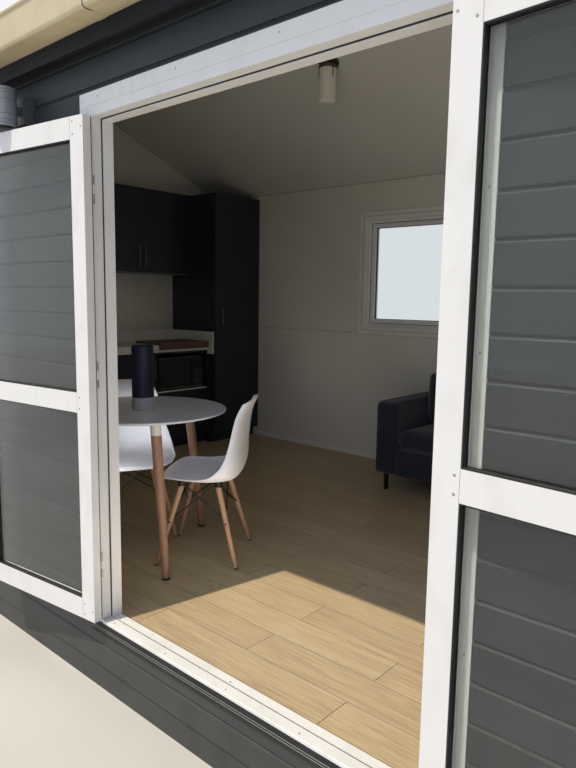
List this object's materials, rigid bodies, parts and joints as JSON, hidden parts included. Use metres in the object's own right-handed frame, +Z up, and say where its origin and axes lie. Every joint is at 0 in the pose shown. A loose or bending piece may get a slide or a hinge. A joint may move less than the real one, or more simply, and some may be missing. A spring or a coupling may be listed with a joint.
{
  "type": "small gable-roofed cabin",
  "caption": "Small weatherboard cabin with an outward-opening pair of glazed doors, a fitted kitchen run, a round table with chairs and a sofa inside.",
  "frame": {"origin": "middle of the cabin's footprint at ground level", "axes": "+X along the front wall to the right, +Y from the doors towards the back wall, +Z up"},
  "size_m": [6.156, 3.48, 3.3185],
  "materials": {
    "bearer_timber": "rough-sawn treated pine",
    "floor_planks": "satin oak-look planks",
    "weatherboard": "weatherboards in satin charcoal paint outside, off-white lining inside",
    "dark_trim": "satin charcoal paint",
    "ceiling_panel": "matt off-white paint",
    "roof_steel": "satin prepainted long-run steel",
    "gutter_paint": "satin cream paint",
    "white_powder_coat": "satin white powder coat on aluminium",
    "grey_glass": "clear float glass, lightly grey",
    "handle_metal": "satin",
    "inside_trim": "semi-gloss white enamel",
    "dark_laminate": "matt dark navy laminate on board",
    "bench_laminate": "satin white laminate",
    "oven_case": "black enamel with dark glass",
    "board_timber": "oiled hardwood",
    "canister_paint": "satin navy",
    "beech": "clear satin lacquer",
    "chair_shell_plastic": "moulded polypropylene, fine matt grain",
    "black_wire": "satin black",
    "navy_upholstery": "woven navy polyester",
    "lamp_parts": "dark bracket with frosted glass",
    "grey_lamp": "grey powder coat"
  },
  "bodies": {
    "cabin": {"bearers": "bearer_timber", "joists": "bearer_timber", "floor": "floor_planks", "front_wall_left": "weatherboard", "front_wall_right": "weatherboard", "front_wall_header": "weatherboard", "back_wall": "weatherboard", "left_end_wall": "weatherboard", "right_end_wall": "weatherboard", "base_boards": "dark_trim", "eave_fascias": "dark_trim", "barge_boards": "dark_trim", "corner_trims": "dark_trim", "ceiling_front": "ceiling_panel", "ceiling_back": "ceiling_panel", "roof_sheet_front": "roof_steel", "roof_sheet_back": "roof_steel", "ridge_cap": "roof_steel", "gutters": "gutter_paint", "door_frame": "white_powder_coat", "door_sill": "white_powder_coat", "hinge_pins": "white_powder_coat", "window_frame": "white_powder_coat", "window_sash": "white_powder_coat", "window_glass": "grey_glass", "cupboard_handles": "handle_metal", "window_architrave": "inside_trim", "skirting": "inside_trim", "kitchen_base": "dark_laminate", "wall_cupboards": "dark_laminate", "tall_cupboard": "dark_laminate", "bench_top": "bench_laminate", "table_top": "bench_laminate", "microwave": "oven_case", "timber_board": "board_timber", "canister": "canister_paint", "table_legs": "beech", "chair_legs": "beech", "chair_shells": "chair_shell_plastic", "chair_bracing": "black_wire", "sofa_base": "navy_upholstery", "sofa_cushions": "navy_upholstery", "ceiling_light": "lamp_parts", "outdoor_light": "grey_lamp"},
    "left_leaf": {"left_leaf_frame": "white_powder_coat", "left_leaf_glass": "grey_glass"},
    "right_leaf": {"right_leaf_frame": "white_powder_coat", "right_leaf_glass": "grey_glass", "door_handle": "handle_metal"}
  },
  "joints": [
    {"name": "left_leaf_hinge", "type": "hinge", "parent": "cabin", "child": "left_leaf", "pos_m": [-0.203, -1.5765, 0], "axis": [0, 0, 1], "range_deg": [0, 173.4]},
    {"name": "right_leaf_hinge", "type": "hinge", "parent": "cabin", "child": "right_leaf", "pos_m": [1.26, -1.5765, 0], "axis": [0, 0, -1], "range_deg": [0, 174.5]}
  ]
}
